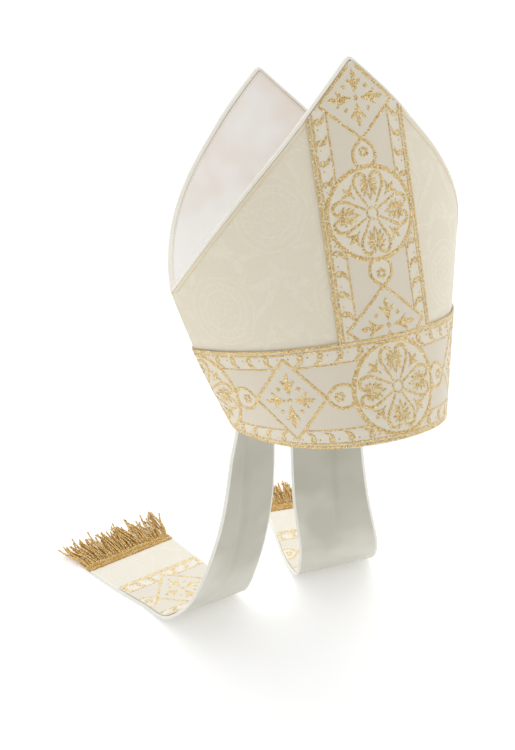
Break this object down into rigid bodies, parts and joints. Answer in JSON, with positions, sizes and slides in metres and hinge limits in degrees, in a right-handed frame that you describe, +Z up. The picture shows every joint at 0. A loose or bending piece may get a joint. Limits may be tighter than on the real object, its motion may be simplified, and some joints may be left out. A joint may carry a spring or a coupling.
{
  "type": "bishop mitre",
  "caption": "Cream damask bishop's mitre worn tipped back: curved pointed horns, gold patterned galloon bands, satin lining, fringed lappets lying at their ends.",
  "frame": {"origin": "middle of the head opening, on the line that joins the feet of the two side seams", "axes": "+Z up, the front horn faces -Y, the wearer's right is -X; the rim is tipped back 14.5 degrees about X as the hat sits on a head"},
  "size_m": [0.3192, 0.3722, 0.5306],
  "materials": {
    "damask": "cream silk damask, woven tone on tone",
    "satin": "white satin lining and rolled edges",
    "galloon": "beige satin galloon with gold thread ornament",
    "gold_cord": "gold metal thread braid and twisted fringe"
  },
  "bodies": {
    "root": {"front_panel": "damask", "back_panel": "damask", "front_lining": "satin", "back_lining": "satin", "valley_lining": "satin", "front_edge_piping": "satin", "back_edge_piping": "satin", "front_circulus": "galloon", "back_circulus": "galloon", "front_titulus": "galloon", "back_titulus": "galloon", "lappet_right": "damask", "lappet_left": "damask", "lappet_right_galloon": "galloon", "lappet_left_galloon": "galloon", "lappet_right_braid": "gold_cord", "lappet_left_braid": "gold_cord", "lappet_right_fringe": "gold_cord", "lappet_left_fringe": "gold_cord"}
  },
  "joints": []
}
